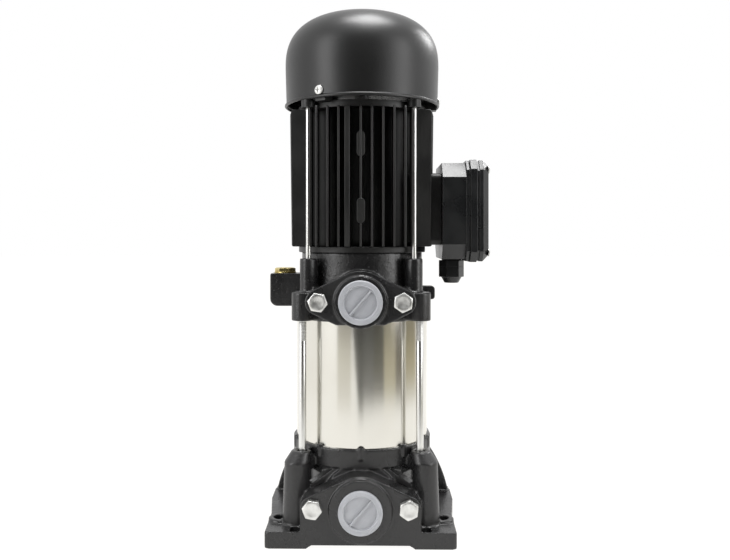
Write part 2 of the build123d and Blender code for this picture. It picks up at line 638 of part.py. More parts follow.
PARTS = {
    "base_casting": base_casting(),
    "outer_sleeve": outer_sleeve(),
    "sleeve_seal_lower": o_ring(SEAL_LOWER_Z),
    "sleeve_seal_upper": o_ring(SEAL_UPPER_Z),
    "stay_bolts": stay_bolts(),
    "stay_bolt_washers": stay_washers(),
    "stay_bolt_nuts": stay_nuts(),
    "pump_head": pump_head(),
    "filler_plug": filler_plug(),
    "suction_flange_bolts": flange_bolts(SUCTION_BOLT_X, SUCTION_BOLT_Z),
    "discharge_flange_bolts": flange_bolts(DISCHARGE_BOLT_X, DISCHARGE_Z),
    "suction_cap": transit_cap(PORT_FACE - SUCTION_BOSS, SUCTION_Z),
    "discharge_cap": transit_cap(PORT_FACE - DISCHARGE_BOSS, DISCHARGE_Z),
    "drive_end_shield": drive_end_shield(),
    "motor_housing": motor_housing(),
    "fan_end_shield": fan_end_shield(),
    "fan_cowl": fan_cowl(),
    "cowl_screws": cowl_screws(),
    "motor_studs": motor_studs(),
    "motor_stud_nuts": motor_nuts(),
    "terminal_box_body": terminal_box_body(),
    "terminal_box_gasket": terminal_box_gasket(),
    "terminal_box_lid": terminal_box_lid(),
    "lid_screws": lid_screws(),
    "terminal_block": terminal_block(),
    "cable_gland_body": gland_body(),
    "cable_gland_washer": gland_washer(),
    "cable_gland_nut": gland_nut(),
    "cable_gland_seal": gland_seal(),
    "stator_core": stator_core(),
    "stator_windings": stator_windings(),
    "bearing_outer_races": [bearing(z, True) for z in BEARINGS_Z],
    "bearing_inner_races": [bearing(z, False) for z in BEARINGS_Z],
    "bearing_cages": bearing_cages(),
    "shaft": shaft(),
    "rotor_core": rotor_core(),
    "cooling_fan": cooling_fan(),
    "shaft_nut": shaft_nut(),
    "impeller_spacers": impeller_spacers(),
    "lower_bush": tube(10, SHAFT_R + RUN_GAP, 64, 76),
    "inlet_plate": inlet_plate(),
    "top_plate": top_plate(),
    "seal_rotary": seal_rotary(),
    "seal_seat": seal_seat(),
}
for stage in range(STAGES):
    level = FIRST_STAGE + stage * STAGE_PITCH
    PARTS[f"impeller_{stage + 1}"] = impeller(level)
    PARTS[f"diffuser_{stage + 1}"] = diffuser(level)
    PARTS[f"stage_casing_{stage + 1}"] = stage_casing(level)

os.makedirs("parts", exist_ok=True)
for name, shape in PARTS.items():
    group = Compound(children=list(shape)) if isinstance(shape, list) else shape
    export_step(group, f"parts/{name}.step")
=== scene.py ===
# %% [markdown]
# # A vertical multistage pump, dressed for its portrait
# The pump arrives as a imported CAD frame: every piece is already in its place, in metres, with +Z up.
# This lesson gives each piece the surface and the small shapes that the CAD leaves out. Castings are
# rebuilt with soft foundry edges, sheet metal with rolled lips, bolts with real chamfers and threads.

# %% Load the frame
import json
from math import cos, pi, radians, sin

import bmesh
import bpy
from mathutils import Matrix, Vector


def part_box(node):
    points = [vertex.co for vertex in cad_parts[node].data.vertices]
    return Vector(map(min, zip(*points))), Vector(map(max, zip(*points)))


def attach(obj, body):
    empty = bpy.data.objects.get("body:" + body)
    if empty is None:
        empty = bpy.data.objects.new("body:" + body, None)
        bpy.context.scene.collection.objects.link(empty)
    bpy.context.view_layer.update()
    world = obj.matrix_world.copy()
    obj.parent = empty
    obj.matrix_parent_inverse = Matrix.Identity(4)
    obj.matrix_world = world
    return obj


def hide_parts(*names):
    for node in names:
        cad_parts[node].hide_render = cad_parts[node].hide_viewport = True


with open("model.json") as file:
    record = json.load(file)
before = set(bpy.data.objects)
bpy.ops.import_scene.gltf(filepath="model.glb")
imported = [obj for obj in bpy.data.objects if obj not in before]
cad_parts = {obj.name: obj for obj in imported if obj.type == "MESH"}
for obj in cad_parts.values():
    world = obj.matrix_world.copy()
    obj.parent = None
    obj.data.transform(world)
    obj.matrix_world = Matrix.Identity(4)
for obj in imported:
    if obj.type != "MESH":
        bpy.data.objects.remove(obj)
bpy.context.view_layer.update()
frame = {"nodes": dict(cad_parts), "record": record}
MM = 0.001

# %% [markdown]
# ## Shader arithmetic in plain Python
# A shader is a graph of nodes. Writing `noise * 0.4 + 0.1` is easier to read than three node calls, so
# one small class wraps a socket and adds a Math node for each operator. Colours never go through it,
# because a Math node turns a colour grey: they go through Mix.

# %% Wrap a socket
class Value:
    """A node's output that does arithmetic by adding Math nodes."""

    def __init__(self, finish, socket):
        self.finish, self.socket = finish, socket

    def math(self, operation, *others, **settings):
        settings["operation"] = operation
        return self.finish.add("ShaderNodeMath", settings, *([self] + list(others)))

    def __add__(self, other):
        return self.math("ADD", other)

    def __rsub__(self, other):
        return self.finish.add("ShaderNodeMath", {"operation": "SUBTRACT"}, other, self)

    def __mul__(self, other):
        return self.math("MULTIPLY", other)

    __radd__, __rmul__ = __add__, __mul__


# %% [markdown]
# ## One object per finish
# Every finish is a Principled shader. Constant values go straight on its sockets. Anything that varies
# over the surface is an expression built from noise read in Object coordinates, so the grain keeps its
# real size: a scale of 1000 gives features about a millimetre across.

# %% Build a finish
class Finish:
    """A Principled material with helpers for the nodes that vary its sockets."""

    def __init__(self, name, color, roughness, **constants):
        self.material = bpy.data.materials.new(name)
        self.material.use_nodes = True
        self.nodes, self.links = self.material.node_tree.nodes, self.material.node_tree.links
        self.shader = next(n for n in self.nodes if n.type == "BSDF_PRINCIPLED")
        self.shader.inputs["Base Color"].default_value = (*color, 1)
        self.shader.inputs["Roughness"].default_value = roughness
        for socket, value in constants.items():
            self.shader.inputs[socket.replace("_", " ")].default_value = value
        self.place = self.node("ShaderNodeTexCoord").outputs["Object"]
        print("finish", name)

    def node(self, kind, settings=None, *inputs, **named):
        node = self.nodes.new(kind)
        for key, value in (settings or {}).items():
            setattr(node, key, value)
        for key, value in list(enumerate(inputs)) + list(named.items()):
            socket = node.inputs[key.replace("_", " ") if isinstance(key, str) else key]
            self.feed(value, socket)
        return node

    def feed(self, value, socket):
        if isinstance(value, Value):
            value = value.socket
        if isinstance(value, bpy.types.NodeSocket):
            self.links.new(value, socket)
        else:
            socket.default_value = value

    def add(self, kind, settings=None, *inputs, **named):
        return Value(self, self.node(kind, settings, *inputs, **named).outputs[0])

    def noise(self, scale, detail=2.0, rough=0.5, stretch=(1, 1, 1)):
        where = self.node("ShaderNodeMapping", None, Vector=self.place, Scale=stretch).outputs[0]
        node = self.node("ShaderNodeTexNoise", None, Vector=where, Scale=scale, Detail=detail,
                         Roughness=rough)
        return Value(self, node.outputs["Fac"])

    def cells(self, scale):
        node = self.node("ShaderNodeTexVoronoi", {"feature": "F1"}, Vector=self.place, Scale=scale)
        return Value(self, node.outputs["Distance"])

    def band(self, value, low, high):
        """0 below low, 1 above high, and a smooth step between."""
        settings = {"interpolation_type": "SMOOTHSTEP"}
        return self.add("ShaderNodeMapRange", settings, value, low, high, 0.0, 1.0)

    def blend(self, factor, first, second):
        node = self.node("ShaderNodeMix", {"data_type": "RGBA"})
        self.feed(factor, node.inputs[0])
        self.feed(first if isinstance(first, Value) else (*first, 1), node.inputs[6])
        self.feed(second if isinstance(second, Value) else (*second, 1), node.inputs[7])
        return Value(self, node.outputs[2])

    def paint(self, color=None, roughness=None, height=None, depth=0.0001):
        """Feed what varies: colour, roughness, and a bump height in metres of depth."""
        if color is not None:
            self.feed(color, self.shader.inputs["Base Color"])
        if roughness is not None:
            self.feed(roughness, self.shader.inputs["Roughness"])
        if height is not None:
            bump = self.node("ShaderNodeBump", None, Strength=1.0, Distance=depth, Height=height)
            self.links.new(bump.outputs[0], self.shader.inputs["Normal"])
        return self.material


# %% [markdown]
# ## Paint on the castings
# The foot and the head are sand castings under one coat of black enamel. The paint follows the sand
# grain, so it has an orange-peel swell, scattered pits where the sand let gas through, and a gloss that
# wanders. The motor's shells are die-cast: the same colour, finer skin.

# %% Casting enamel and die-cast paint
def casting_enamel():
    f = Finish("casting_enamel", (0.05, 0.05, 0.052), 0.36, Specular_IOR_Level=0.55)
    swell, grain = f.noise(260, 3, 0.55), f.noise(1150, 2)
    pits = f.band(f.cells(330), 0.10, 0.24)
    patches = f.band(f.noise(38, 2), 0.42, 0.62)
    pitted = 1 - (1 - pits) * patches
    cloud = f.band(f.noise(26, 3), 0.3, 0.7)
    color = f.blend(cloud, (0.016, 0.016, 0.0165), (0.026, 0.0255, 0.026))
    color = f.blend(pitted, (0.010, 0.010, 0.010), color)
    rough = 0.23 + cloud * 0.12 + (1 - pitted) * 0.25
    return f.paint(color, rough, height=swell * 0.55 + grain * 0.18 + pitted * 0.5, depth=0.00045)


def diecast_paint():
    f = Finish("diecast_paint", (0.03, 0.03, 0.03), 0.42, Specular_IOR_Level=0.5)
    cloud = f.band(f.noise(34, 3), 0.3, 0.7)
    flow = f.noise(90, 3, 0.5, stretch=(1, 1, 0.15))
    color = f.blend(cloud, (0.009, 0.009, 0.0088), (0.014, 0.0138, 0.013))
    return f.paint(color, 0.36 + cloud * 0.1 + flow * 0.08,
                   height=f.noise(900, 2) * 0.4 + flow * 0.6, depth=0.00015)


def cowl_paint():
    f = Finish("cowl_paint", (0.03, 0.03, 0.03), 0.4, Specular_IOR_Level=0.5)
    cloud = f.band(f.noise(18, 2), 0.3, 0.7)
    color = f.blend(cloud, (0.010, 0.010, 0.010), (0.013, 0.013, 0.013))
    return f.paint(color, 0.34 + cloud * 0.05, height=f.noise(1400, 2), depth=0.00006)


# %% [markdown]
# ## Metals
# The barrel is polished stainless sheet. Polishing runs round the barrel, so its fine lines are
# stretched round the axis, and the roughness wanders a little from hand buffing. Bolts are bright
# zinc, whose passivated film clouds the gloss. Stay bolts are drawn rod, with lines along their length.

# %% Stainless, zinc, brass, steel, copper
def polished_stainless():
    f = Finish("polished_stainless", (0.80, 0.79, 0.77), 0.1, Metallic=1.0)
    lines = f.noise(60, 3, 0.6, stretch=(1, 1, 26))
    haze = f.band(f.noise(14, 2), 0.35, 0.7)
    color = f.blend(haze, (0.76, 0.745, 0.69), (0.71, 0.69, 0.63))
    return f.paint(color, 0.12 + lines * 0.05 + haze * 0.04,
                   height=f.noise(22, 1, stretch=(1, 1, 0.3)) * 0.8 + lines * 0.04, depth=0.00006)


def drawn_stainless():
    f = Finish("drawn_stainless", (0.62, 0.61, 0.59), 0.3, Metallic=1.0)
    lines = f.noise(240, 3, 0.6, stretch=(1, 1, 12))
    return f.paint(roughness=0.22 + lines * 0.2, height=lines, depth=0.00003)


def bright_zinc():
    f = Finish("bright_zinc", (0.78, 0.78, 0.76), 0.22, Metallic=1.0)
    cloud = f.band(f.noise(210, 3), 0.3, 0.72)
    return f.paint(f.blend(cloud, (0.70, 0.70, 0.68), (0.86, 0.86, 0.84)), 0.34 + cloud * 0.16,
                   height=f.noise(1600, 2), depth=0.00003)


def drawn_rod():
    f = Finish("drawn_rod", (0.80, 0.80, 0.78), 0.2, Metallic=1.0)
    lines = f.noise(300, 2, stretch=(3, 3, 0.1))
    return f.paint(f.blend(lines, (0.72, 0.72, 0.70), (0.86, 0.86, 0.84)), 0.24 + lines * 0.12,
                   height=lines, depth=0.00001)


def dull_brass():
    f = Finish("dull_brass", (0.62, 0.50, 0.19), 0.32, Metallic=1.0)
    tarnish = f.band(f.noise(170, 4, 0.6), 0.4, 0.7)
    return f.paint(f.blend(tarnish, (0.66, 0.55, 0.24), (0.40, 0.30, 0.10)), 0.24 + tarnish * 0.26,
                   height=f.noise(900, 2), depth=0.00004)


def ground_steel():
    f = Finish("ground_steel", (0.55, 0.55, 0.56), 0.2, Metallic=1.0)
    lines = f.noise(300, 2, stretch=(1, 1, 20))
    return f.paint(roughness=0.16 + lines * 0.14, height=lines, depth=0.00002)


def wound_copper():
    f = Finish("wound_copper", (0.55, 0.22, 0.09), 0.35, Metallic=0.9)
    strands = f.noise(420, 2, stretch=(1, 1, 6))
    return f.paint(f.blend(strands, (0.42, 0.15, 0.06), (0.66, 0.30, 0.12)), 0.3 + strands * 0.2,
                   height=strands, depth=0.0004)


def laminations():
    f = Finish("laminations", (0.2, 0.2, 0.21), 0.45, Metallic=0.8)
    sheets = f.noise(30, 2, stretch=(0.2, 0.2, 60))
    return f.paint(f.blend(sheets, (0.14, 0.14, 0.15), (0.28, 0.28, 0.29)), 0.4 + sheets * 0.15,
                   height=sheets, depth=0.0002)


# %% [markdown]
# ## Plastics and rubber
# The terminal box is moulded in black with a fine spark-eroded grain. The transit caps are milky
# polyethylene: light goes a few millimetres in before it comes back, which subsurface scattering gives.

# %% Box plastic, milky caps, rubber, carbon
def box_plastic():
    f = Finish("box_plastic", (0.03, 0.03, 0.031), 0.5, Specular_IOR_Level=0.5)
    cloud = f.band(f.noise(40, 2), 0.3, 0.7)
    color = f.blend(cloud, (0.010, 0.0105, 0.011), (0.016, 0.0165, 0.017))
    return f.paint(color, 0.26 + cloud * 0.08, height=f.noise(1500, 2), depth=0.00006)


def milky_plastic():
    f = Finish("milky_plastic", (0.70, 0.71, 0.73), 0.34, Subsurface_Weight=0.3, Subsurface_Scale=0.004,
               Subsurface_Radius=(1, 1, 1))
    cloud = f.noise(120, 3)
    color = f.blend(cloud, (0.42, 0.43, 0.46), (0.52, 0.53, 0.56))
    return f.paint(color, 0.28 + cloud * 0.16, height=cloud, depth=0.0001)


def black_rubber():
    f = Finish("black_rubber", (0.02, 0.02, 0.02), 0.75)
    dust = f.noise(300, 3)
    return f.paint(f.blend(dust, (0.014, 0.014, 0.014), (0.03, 0.03, 0.03)), 0.65 + dust * 0.2,
                   height=dust, depth=0.0001)


def seal_carbon():
    f = Finish("seal_carbon", (0.03, 0.03, 0.03), 0.3)
    lap = f.noise(500, 2)
    return f.paint(f.blend(lap, (0.02, 0.02, 0.022), (0.045, 0.045, 0.047)), 0.22 + lap * 0.2,
                   height=lap, depth=0.00003)


SKIN = {
    "enamel": casting_enamel(), "diecast": diecast_paint(), "cowl": cowl_paint(),
    "polished": polished_stainless(), "stainless": drawn_stainless(), "zinc": bright_zinc(),
    "rod": drawn_rod(), "brass": dull_brass(), "steel": ground_steel(), "copper": wound_copper(),
    "stack": laminations(),
    "plastic": box_plastic(), "milky": milky_plastic(), "rubber": black_rubber(), "carbon": seal_carbon(),
}
print("finishes", len(SKIN))

# %% [markdown]
# ## Dress the CAD nodes
# Every carried-over CAD node takes the finish of its material slot. The record says which slot each
# node has, so one table is enough.

# %% Finish by slot
SLOT_SKIN = {
    "black_casting": "enamel", "stainless": "stainless", "zinc_steel": "zinc", "bearing_steel": "steel",
    "brass": "brass", "copper": "copper", "lamination_steel": "stack", "black_plastic": "plastic",
    "milky_plastic": "milky", "rubber": "rubber", "seal_carbon": "carbon",
}
NODE_SKIN = {"outer_sleeve": "polished", "motor_housing": "diecast", "drive_end_shield": "diecast",
             "fan_end_shield": "diecast", "fan_cowl": "cowl", "shaft": "steel"}
slot_of = {part["node"]: part["material_slot"] for part in frame["record"]["subparts"]}


def dress_cad_nodes():
    for node, obj in frame["nodes"].items():
        skin = SKIN[NODE_SKIN.get(node, SLOT_SKIN[slot_of[node]])]
        obj.data.materials.clear()
        obj.data.materials.append(skin)


dress_cad_nodes()
print("dressed", len(slot_of), "CAD nodes")

# %% [markdown]
# ## Tools for making pieces
# Sizes below are in millimetres, as on a drawing, and are scaled when a mesh is made. A turned piece is
# a profile spun round its axis. Real corners are never sharp, so `rounded` turns each corner of a
# profile into a short curve before it is spun.

# %% Turned pieces
def rounded(points, radius, steps=3):
    """The same line with each inner corner eased into a short curve."""
    line = [Vector(points[0])]
    for before, corner, after in zip(points, points[1:], points[2:]):
        back, here, on = Vector(before), Vector(corner), Vector(after)
        start = here + (back - here).normalized() * min(radius, (back - here).length * 0.45)
        end = here + (on - here).normalized() * min(radius, (on - here).length * 0.45)
        for k in range(steps + 1):
            t = k / steps
            line.append(start * (1 - t) ** 2 + here * 2 * t * (1 - t) + end * t ** 2)
    return line + [Vector(points[-1])]


def lathe(points, steps=96):
    """Spin a line of (radius, height) round +Z."""
    bm = bmesh.new()
    verts = [bm.verts.new((p[0] * MM, 0, p[1] * MM)) for p in points]
    edges = [bm.edges.new(pair) for pair in zip(verts, verts[1:])]
    bmesh.ops.spin(bm, geom=verts + edges, axis=(0, 0, 1), cent=(0, 0, 0), angle=2 * pi, steps=steps,
                   use_merge=True)
    return clean(bm)


def clean(bm):
    bmesh.ops.remove_doubles(bm, verts=bm.verts[:], dist=2e-6)
    bmesh.ops.recalc_face_normals(bm, faces=bm.faces[:])
    return bm


def prism(outline, depth, flare=0.0):
    """Closed solid under an outline of (u, v), standing on Z = 0; flare widens its foot."""
    bm = bmesh.new()
    cu = sum(p[0] for p in outline) / len(outline)
    cv = sum(p[1] for p in outline) / len(outline)
    foot = []
    for u, v in outline:
        away = Vector((u - cu, v - cv))
        u, v = Vector((u, v)) + (away.normalized() * flare if away.length else away)
        foot.append(bm.verts.new((u * MM, v * MM, 0)))
    crown = [bm.verts.new((u * MM, v * MM, depth * MM)) for u, v in outline]
    for k in range(len(outline)):
        bm.faces.new((foot[k - 1], foot[k], crown[k], crown[k - 1]))
    bm.faces.new(foot)
    bm.faces.new(crown)
    return clean(bm)


# %% [markdown]
# A prism's outline is often a rounded rectangle or a slot, so both are made by one function that walks
# round four quarter circles.

# %% Outlines, placing and joining
def rounded_box(width, height, radius, centre=(0, 0), steps=5):
    points = []
    for k, (sx, sy) in enumerate([(1, 1), (-1, 1), (-1, -1), (1, -1)]):
        for step in range(steps + 1):
            a = radians(90 * (k + step / steps))
            points.append((centre[0] + sx * (width / 2 - radius) + radius * cos(a),
                           centre[1] + sy * (height / 2 - radius) + radius * sin(a)))
    return points


def at(x, y, z):
    return Matrix.Translation((x * MM, y * MM, z * MM))


def turn(degrees, axis="Z"):
    return Matrix.Rotation(radians(degrees), 4, axis)


TO_FRONT = turn(90, "X")     # a piece made along +Z now looks along -Y
TO_RIGHT = turn(90, "Y")     # ... and here along +X


def placed(bm, *steps):
    """Move a mesh: the last step given is applied first."""
    matrix = Matrix.Identity(4)
    for step in steps:
        matrix = matrix @ step
    bmesh.ops.transform(bm, matrix=matrix, verts=bm.verts[:])
    return bm


def joined(parts):
    """One mesh out of several, which are used up."""
    whole = bmesh.new()
    for part in parts:
        scrap = bpy.data.meshes.new("scrap")
        part.to_mesh(scrap)
        part.free()
        whole.from_mesh(scrap)
        bpy.data.meshes.remove(scrap)
    return whole


# %% [markdown]
# `show` turns a mesh into a piece: it takes its finish, follows its body and hides the CAD nodes that it
# stands for. Edges sharper than the crisp angle stay crisp, the rest is
# smooth. A bevel afterwards gives an edge the small round that catches the light.

# %% Showing a piece, and bevels
def show(name, bm, skin, replaces, body="pump", crisp=35):
    mesh = bpy.data.meshes.new(name)
    bm.to_mesh(mesh)
    bm.free()
    mesh.shade_smooth()
    mesh.set_sharp_from_angle(angle=radians(crisp))
    obj = bpy.data.objects.new(name, mesh)
    bpy.context.scene.collection.objects.link(obj)
    mesh.materials.append(SKIN[skin])
    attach(obj, body)
    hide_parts(*replaces)
    print(name, len(mesh.polygons), "faces, for", ", ".join(replaces))
    return obj


def soften(obj, width, steps=2, angle=35):
    bevel = obj.modifiers.new("edge", "BEVEL")
    bevel.width, bevel.segments = width * MM, steps
    bevel.limit_method, bevel.angle_limit = "ANGLE", radians(angle)
    return obj


def cut_flat(bm, normal, distance):
    """Mill a flat: everything beyond the plane goes, and the cut is closed."""
    normal = Vector(normal)
    whole = bm.verts[:] + bm.edges[:] + bm.faces[:]
    cut = bmesh.ops.bisect_plane(bm, geom=whole, plane_co=normal * distance * MM, plane_no=normal,
                                 clear_outer=True)
    rim = [item for item in cut["geom_cut"] if isinstance(item, bmesh.types.BMEdge)]
    bmesh.ops.contextual_create(bm, geom=rim)
    return bm


def hex_head(flats, height, chamfer, dish=0.0):
    """Hexagon turned from bar: chamfered on the lathe first, then milled to six flats."""
    reach = flats / 2 / cos(radians(30)) + 0.01
    line = [(0, height - dish), (flats * 0.26, height - dish), (flats * 0.34, height),
            (flats * 0.46, height), (reach, height - chamfer), (reach, 0.0), (flats * 0.48, 0), (0, 0)]
    bm = lathe(line, 48)
    for k in range(6):
        a = radians(60 * k + 30)
        cut_flat(bm, (cos(a), sin(a), 0), flats / 2)
    return clean(bm)


# %% [markdown]
# ## Castings
# A sand casting has no sharp edge anywhere: every inner corner is a fillet and every outer one is worn
# by the shot blasting. Each casting is the CAD solid rebuilt from small cubes and then smoothed, which
# rounds all its edges and corners by about a millimetre at once. Thinning keeps the mesh light after.

# %% A casting out of a CAD solid
CUBE, SMOOTH_PASSES = 1.0, 2


def casting(name, node, keep, extras=()):
    bm = bmesh.new()
    bm.from_mesh(frame["nodes"][node].data)
    bmesh.ops.remove_doubles(bm, verts=bm.verts[:], dist=5e-6)
    obj = show(name, joined([bm, *extras]), "enamel", [node], crisp=70)
    remesh = obj.modifiers.new("cubes", "REMESH")
    remesh.mode, remesh.voxel_size, remesh.use_smooth_shade = "VOXEL", CUBE * MM, True
    ease = obj.modifiers.new("ease", "SMOOTH")
    ease.factor, ease.iterations = 0.5, SMOOTH_PASSES
    thin = obj.modifiers.new("thin", "DECIMATE")
    thin.ratio = keep


def hull_outline(circles, lowest, steps=48):
    """Outline round circles (u, v, radius), by its widest point each way, and never below lowest."""
    points = []
    for k in range(steps):
        a = 2 * pi * k / steps
        u, v, r = max(circles, key=lambda c: c[0] * cos(a) + c[1] * sin(a) + c[2])
        points.append((u + r * cos(a), max(v + r * sin(a), lowest)))
    return points


# %% [markdown]
# Behind the suction flange the casting swells into the water way. The swelling follows the flange's
# outline a little further out, and a groove parts the two.

# %% Cast the base and the head
SUCTION_Z, SUCTION_BOLT_X, SUCTION_BOLT_Z = 32.0, 40.7, 34.0
SWELL_BACK, SWELL_DEPTH, SWELL_FLOOR = -43, 15, 2
SWELL_R, SWELL_EAR_R = 37.5, 12.5
ears = [(side * SUCTION_BOLT_X, SUCTION_BOLT_Z, SWELL_EAR_R) for side in (-1, 1)]
swell = prism(hull_outline([(0, SUCTION_Z, SWELL_R), *ears], SWELL_FLOOR), SWELL_DEPTH, 1.0)
casting("base_cast", "base_casting", 0.5, [placed(swell, at(0, SWELL_BACK, 0), TO_FRONT)])
casting("head_cast", "pump_head", 0.8)

# %% [markdown]
# ## Sleeve
# The barrel is one thin rolled sleeve, held between the foot and the head. Many steps round the lathe
# keep its mirror from showing flats.

# %% Sleeve
BARREL_R, SLEEVE_WALL = 61.2, 1.2
sleeve_low, sleeve_high = (corner.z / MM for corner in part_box("outer_sleeve"))
wall = [(BARREL_R - SLEEVE_WALL, sleeve_low), (BARREL_R, sleeve_low), (BARREL_R, sleeve_high),
        (BARREL_R - SLEEVE_WALL, sleeve_high), (BARREL_R - SLEEVE_WALL, sleeve_low)]
show("sleeve", lathe(wall, 256), "polished", ["outer_sleeve"])

# %% [markdown]
# ## Stay bolts and studs
# Four stay bolts pull the head down on the sleeve, and four longer studs pull the motor on to the head.
# Each stay bolt has a rolled thread at both ends, of which the upper one shows below the head. A thread
# is drawn as rings of crests and roots: at this size nobody sees that it has no slope.

# %% Threads, stay bolts, motor studs
STAY_XY, STAY_R = 51.7, 3.6
STUD_XY, STUD_R = 46.9, 2.25
UPPER_THREAD_Z, LOWER_THREAD = 172.0, 17
THREAD_PITCH, THREAD_DEPTH = 1.25, 0.45
CORNERS = [(sx, sy) for sx in (-1, 1) for sy in (-1, 1)]
stay_low, stay_high = (corner.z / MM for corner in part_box("stay_bolts"))
stud_low, stud_high = (corner.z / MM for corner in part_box("motor_studs"))


def thread_line(radius, low, high, pitch=THREAD_PITCH, depth=THREAD_DEPTH):
    """Zigzag of a thread's crests and roots from low to high."""
    line = []
    for k in range(int((high - low) / pitch)):
        z = low + k * pitch
        line += [(radius - depth, z), (radius, z + pitch * 0.42), (radius, z + pitch * 0.58)]
    return line + [(radius - depth, high)]


def four_rods(line, spacing):
    """The same turned rod at the four corners."""
    return joined([placed(lathe(line, 32), at(sx * spacing, sy * spacing, 0)) for sx, sy in CORNERS])


stay_line = [(0, stay_low), (STAY_R - 0.5, stay_low)]
stay_line += thread_line(STAY_R, stay_low + 0.5, stay_low + LOWER_THREAD)
stay_line += [(STAY_R - 0.25, stay_low + LOWER_THREAD + 1), (STAY_R - 0.25, UPPER_THREAD_Z - 0.6)]
stay_line += thread_line(STAY_R, UPPER_THREAD_Z, stay_high - 0.5)
stay_line += [(STAY_R - 0.6, stay_high), (0, stay_high)]
show("stays", four_rods(stay_line, STAY_XY), "rod", ["stay_bolts"], crisp=50)
stud_line = rounded([(0, stud_low), (STUD_R, stud_low), (STUD_R, stud_high), (0, stud_high)], 0.5)
show("studs", four_rods(stud_line, STUD_XY), "rod", ["motor_studs"])

# %% [markdown]
# ## Motor housing
# The stator housing is die-cast with four groups of nine fins. A fin tapers towards its tip so that it
# leaves the die, and the whole outline widens by a millimetre and a half towards the cowl.

# %% One fin
HOUSING_Z = [corner.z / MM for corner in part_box("motor_housing")]
FIN_PITCH, FIN_THICKNESS, FIN_FOOT, FIN_DRAFT = 9.7, 2.2, 44, 1.5
FIN_TIP, FIN_SHOULDER, GROUP_HALF = 65.4, 61.4, 42.0


def reach_at(across):
    """How far the fin at this distance from the middle reaches, along a shallow arc."""
    return FIN_TIP - (FIN_TIP - FIN_SHOULDER) * (across / GROUP_HALF) ** 2


def fin(across, thickness, reach):
    """One fin of the front group, with a drafted section and a sloping upper tip."""
    low, high = HOUSING_Z
    root, tip = thickness / 2 + 0.5, thickness / 2 - 0.15
    bm = bmesh.new()
    rings = []
    for z, out in ((low, reach - 0.6), (low + 1.2, reach), (high - 3.0, reach + FIN_DRAFT),
                   (high, reach + FIN_DRAFT - 1.6)):
        section = [(-root, -FIN_FOOT), (root, -FIN_FOOT), (tip, -out), (-tip, -out)]
        rings.append([bm.verts.new(((across + x) * MM, y * MM, z * MM)) for x, y in section])
    for lower, upper in zip(rings, rings[1:]):
        for k in range(4):
            bm.faces.new((lower[k - 1], lower[k], upper[k], upper[k - 1]))
    bm.faces.new(rings[0])
    bm.faces.new(rings[-1])
    return clean(bm)


# %% [markdown]
# One fin of the front group is broader than the rest. On the front and rear groups the middle fin
# carries two long bosses, where ejector pins push the casting out of its die. The neck of the terminal
# box grows out of the fins on the right.

# %% Four groups of fins on the core
CORE_R, BORE_R = 50.0, 46.0
BROAD_FIN_X, BROAD_FIN_THICKNESS = -11.9, 4.9
BOSS_Z, BOSS_DEPTH, BOSS_REACH = (286.0, 344.0), 17, 66.15


def fin_group(side):
    """Nine fins and two ejector bosses; the front group has one broad fin."""
    parts = []
    for k in range(-4, 5):
        broad = side == 0 and k == -1
        across, thickness = (BROAD_FIN_X, BROAD_FIN_THICKNESS) if broad else (k * FIN_PITCH, FIN_THICKNESS)
        parts.append(placed(fin(across, thickness, reach_at(across)), turn(90 * side)))
    if side % 2 == 0:
        for z in BOSS_Z:
            boss = prism(rounded_box(7.1, 22, 3.5), BOSS_DEPTH, 0.4)
            parts.append(placed(boss, turn(90 * side), at(0, BOSS_DEPTH - BOSS_REACH, z), TO_FRONT))
    return parts


core = [(BORE_R, HOUSING_Z[0]), (CORE_R, HOUSING_Z[0]), (CORE_R + 0.6, HOUSING_Z[1]),
        (BORE_R, HOUSING_Z[1]), (BORE_R, HOUSING_Z[0])]
box_neck = placed(prism(rounded_box(65, 64, 5), 32.6, 0.8), at(40, 0, 288.5), TO_RIGHT)
housing_parts = [lathe(rounded(core, 0.8), 96), box_neck]
for side in range(4):
    housing_parts += fin_group(side)
soften(show("housing", joined(housing_parts), "diecast", ["motor_housing"]), 0.45)

# %% [markdown]
# ## Cowl
# The fan cowl is pressed from one sheet: a superellipse dome, a side wall that narrows a little towards
# its foot, and a rolled lip that stiffens the rim. Slots round the crown let the air in. The line is
# the outer face only: a Solidify modifier gives the sheet its thickness inwards.

# %% Cowl
COWL_R, COWL_FOOT_R, COWL_LIP_R, COWL_WALL = 72.1, 71.2, 72.8, 1.0
COWL_RIM, COWL_SHOULDER, COWL_APEX, COWL_POWER = 384.5, 421.0, 472.2, 2.6
LIP_HEIGHT = 3.2
SLOTS, SLOT_SHARE, SLOT_INNER, SLOT_OUTER = 16, 0.42, 14, 33


def cowl_line():
    """Outer surface from the rim to the apex."""
    line = [(COWL_FOOT_R - 0.6, COWL_RIM + 0.05), (COWL_FOOT_R + 0.7, COWL_RIM),
            (COWL_LIP_R - 0.2, COWL_RIM + 0.5), (COWL_LIP_R, COWL_RIM + 1.2),
            (COWL_LIP_R - 0.15, COWL_RIM + 1.9), (COWL_FOOT_R + 0.5, COWL_RIM + 2.6),
            (COWL_FOOT_R + 0.05, COWL_RIM + LIP_HEIGHT)]
    for k in range(1, 10):
        line.append((COWL_FOOT_R + (COWL_R - COWL_FOOT_R) * k / 10,
                     COWL_RIM + LIP_HEIGHT + (COWL_SHOULDER - COWL_RIM - LIP_HEIGHT) * k / 10))
    power, rise = 2 / COWL_POWER, COWL_APEX - COWL_SHOULDER
    for k in range(41):
        a = radians(90) * k / 40
        line.append((COWL_R * cos(a) ** power, COWL_SHOULDER + rise * sin(a) ** power))
    return line[:-1] + [(0, COWL_APEX)]


def degrees_round(point):
    """Angle of a point round the axis, from +X towards +Y, between 0 and 360."""
    return (Vector((1, 0)).angle_signed(Vector((point.x, point.y)), 0) * -180 / pi) % 360


